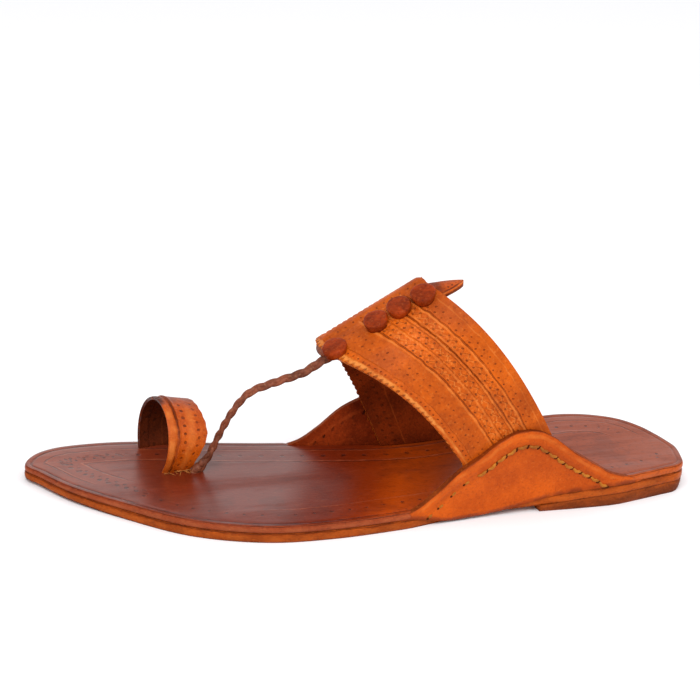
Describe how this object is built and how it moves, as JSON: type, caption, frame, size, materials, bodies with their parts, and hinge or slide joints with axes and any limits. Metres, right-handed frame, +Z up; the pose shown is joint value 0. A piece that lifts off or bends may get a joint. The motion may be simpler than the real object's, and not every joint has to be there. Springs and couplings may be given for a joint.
{
  "type": "kolhapuri sandal",
  "caption": "Flat leather sandal for the left foot with a tooled instep band, side flaps, a toe ring and a braided toe strap.",
  "frame": {"origin": "middle of the bounding box's underside, on the floor", "axes": "+X from heel to toe, +Y to the outer (lateral) side of the left foot, +Z up"},
  "size_m": [0.2662, 0.0902, 0.091],
  "materials": {
    "upper_leather": "oiled tan vegetable-tanned leather, half gloss",
    "insole_leather": "burnished dark red-brown leather, glossy",
    "sole_edge": "dyed and burnished sole edge, half gloss",
    "heel_leather": "dark heel lift leather, dull",
    "braid_leather": "brown braided leather lace, half gloss",
    "disc_leather": "dark red-brown leather discs, half gloss"
  },
  "bodies": {
    "root": {"outsole": "sole_edge", "heel_lift": "heel_leather", "insole": "insole_leather", "upper": "upper_leather", "ear_lateral": "upper_leather", "ear_medial": "upper_leather", "toe_strap": "braid_leather", "toe_ring": "upper_leather", "disc_1": "disc_leather", "disc_2": "disc_leather", "disc_3": "disc_leather", "disc_4": "disc_leather"}
  },
  "joints": []
}
